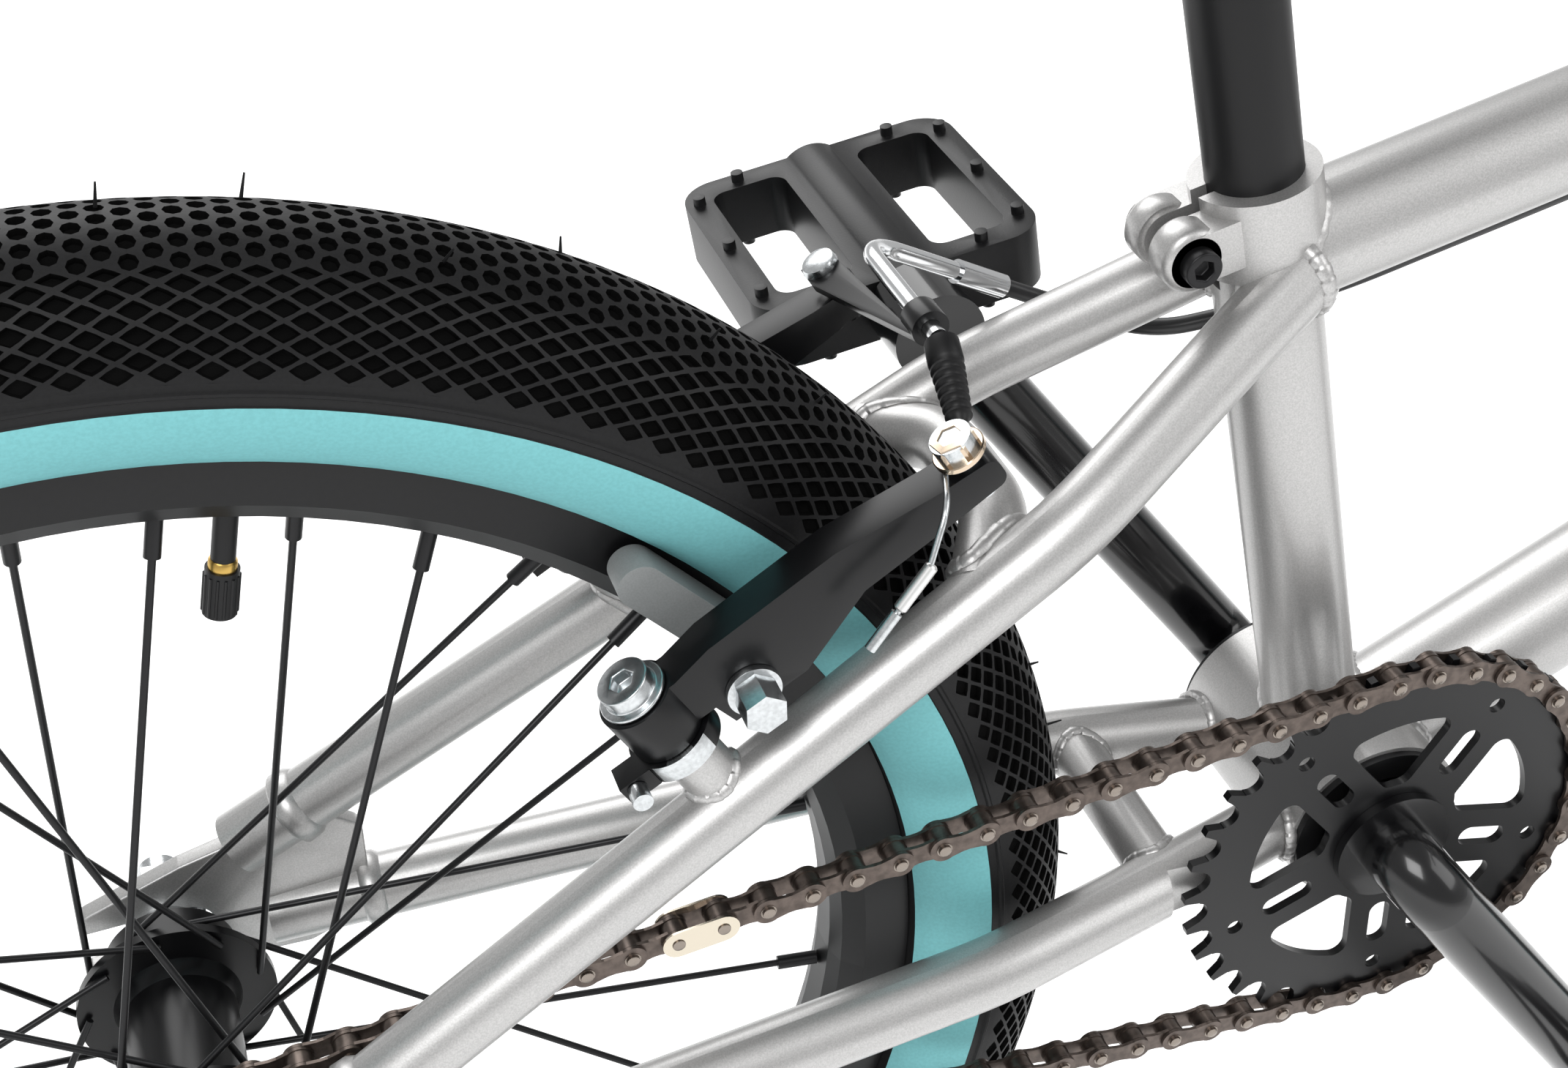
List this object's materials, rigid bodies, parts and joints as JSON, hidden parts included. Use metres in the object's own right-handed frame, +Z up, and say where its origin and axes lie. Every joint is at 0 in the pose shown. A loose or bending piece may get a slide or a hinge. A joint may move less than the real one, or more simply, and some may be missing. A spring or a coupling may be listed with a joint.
{
  "type": "bmx bike",
  "caption": "Freestyle BMX bike with a silver frame, black parts, knobbed tyres, single-speed chain drive and a rear linear-pull rim brake worked by a lever on the high-rise handlebar",
  "frame": {"origin": "on the ground, midway between the two wheel axles, in the bike's centre plane", "axes": "+X forward, +Y to the rider's left, +Z up; the chain runs on the -Y side"},
  "size_m": [1.4803, 0.7412, 0.9436],
  "materials": {
    "frame_paint": "silver metallic flake paint",
    "black_paint": "gloss black paint",
    "black_metal": "satin black anodised",
    "black_steel": "blackened steel",
    "zinc_steel": "zinc plated",
    "bright_steel": "polished",
    "chain_steel": "oiled brown steel",
    "tyre_rubber": "moulded black rubber with a teal sidewall band",
    "tube_rubber": "black rubber",
    "pad_rubber": "light grey moulded rubber",
    "black_plastic": "moulded black",
    "saddle_vinyl": "black synthetic leather"
  },
  "bodies": {
    "frame": {"head_tube": "frame_paint", "bottom_bracket_shell": "frame_paint", "top_tube": "frame_paint", "down_tube": "frame_paint", "seat_tube": "frame_paint", "dropouts": "frame_paint", "seat_stays": "frame_paint", "chain_stays": "frame_paint", "stay_bridges": "frame_paint", "brake_bosses": "frame_paint", "cable_guides": "frame_paint", "brake_housing": "black_plastic", "seat_clamp_bolt": "black_steel", "bottom_bracket_cups": "black_steel", "headset_bearings": "black_steel", "rear_axle": "zinc_steel", "rear_axle_nuts": "zinc_steel", "brake_spring_collars": "black_steel", "brake_pivot_bolts": "zinc_steel", "chain": "chain_steel"},
    "seat_post": {"seat_post": "black_paint"},
    "saddle": {"saddle_base": "black_plastic", "saddle_cover": "saddle_vinyl", "seat_bolt": "black_steel"},
    "fork": {"fork_steerer": "black_paint", "fork_legs": "black_paint", "front_axle": "zinc_steel", "headset_cap": "black_metal", "stem": "black_paint", "stem_faceplate": "black_paint", "stem_bolts": "black_steel", "handlebar": "black_paint", "grips": "tube_rubber", "lever_bracket": "black_metal"},
    "brake_lever": {"brake_lever": "black_metal"},
    "front_wheel": {"front_rim": "black_metal", "front_tyre": "tyre_rubber", "front_inner_tube": "tube_rubber", "front_hub": "black_metal", "front_spokes": "black_steel"},
    "rear_wheel": {"rear_rim": "black_metal", "rear_tyre": "tyre_rubber", "rear_inner_tube": "tube_rubber", "rear_hub": "black_metal", "rear_spokes": "black_steel"},
    "freewheel": {"freewheel_cog": "chain_steel"},
    "crank": {"crank": "black_paint", "chainring": "black_paint", "crank_cones": "black_steel", "pedal_spindles": "zinc_steel"},
    "left_pedal": {"left_pedal": "black_plastic"},
    "right_pedal": {"right_pedal": "black_plastic"},
    "left_arm": {"left_brake_arm": "black_metal", "left_brake_pad": "pad_rubber", "noodle_link": "black_steel", "cable_noodle": "bright_steel"},
    "right_arm": {"right_brake_arm": "black_metal", "right_brake_pad": "pad_rubber", "cable_anchor_bolt": "zinc_steel", "cable_boot": "tube_rubber"}
  },
  "joints": [
    {"name": "steering", "type": "hinge", "parent": "frame", "child": "fork", "pos_m": [0.36541, 0, 0.55733], "axis": [-0.2672, 0, 0.9636], "range_deg": [-90, 90], "deforming": ["brake_housing"]},
    {"name": "front_wheel_spin", "type": "hinge", "parent": "fork", "child": "front_wheel", "pos_m": [0.4785, 0, 0.2618], "axis": [0, 1, 0], "continuous": true},
    {"name": "rear_wheel_spin", "type": "hinge", "parent": "frame", "child": "rear_wheel", "pos_m": [-0.4785, 0, 0.2618], "axis": [0, 1, 0], "continuous": true},
    {"name": "crank_spin", "type": "hinge", "parent": "frame", "child": "crank", "pos_m": [-0.12644, 0, 0.3], "axis": [0, 1, 0], "continuous": true, "deforming": ["chain"]},
    {"name": "cog_spin", "type": "hinge", "parent": "frame", "child": "freewheel", "pos_m": [-0.4785, 0, 0.2618], "axis": [0, 1, 0], "continuous": true},
    {"name": "left_pedal_spin", "type": "hinge", "parent": "crank", "child": "left_pedal", "pos_m": [-0.24354, 0.074, 0.43005], "axis": [0, 1, 0], "continuous": true},
    {"name": "right_pedal_spin", "type": "hinge", "parent": "crank", "child": "right_pedal", "pos_m": [-0.00935, -0.074, 0.16995], "axis": [0, 1, 0], "continuous": true},
    {"name": "lever_pull", "type": "hinge", "parent": "fork", "child": "brake_lever", "pos_m": [0.33077, -0.22079, 0.91797], "axis": [-0.0764, 0.047, -0.996], "range_deg": [0, 9.5], "stiffness_Nm_per_rad": 0.6, "springref_deg": -5.73},
    {"name": "left_arm_close", "type": "hinge", "parent": "frame", "child": "left_arm", "pos_m": [-0.36146, 0.045, 0.40081], "axis": [0.5735, 0, -0.8192], "range_deg": [0, 3.5]},
    {"name": "right_arm_close", "type": "hinge", "parent": "frame", "child": "right_arm", "pos_m": [-0.36146, -0.045, 0.40081], "axis": [-0.5735, 0, 0.8192], "range_deg": [0, 3.5], "deforming": ["cable_boot"]},
    {"name": "seat_height", "type": "slide", "parent": "frame", "child": "seat_post", "axis": [-0.3007, 0, 0.9537], "range_m": [-0.06, 0.03]},
    {"name": "seat_tilt", "type": "hinge", "parent": "seat_post", "child": "saddle", "pos_m": [-0.22207, 0, 0.60328], "axis": [0, 1, 0], "range_deg": [-15, 15]}
  ],
  "couplings": [
    {"joint": "cog_spin", "follows": "crank_spin", "ratio": 2},
    {"joint": "left_arm_close", "follows": "lever_pull", "ratio": 0.368},
    {"joint": "right_arm_close", "follows": "lever_pull", "ratio": 0.368}
  ]
}
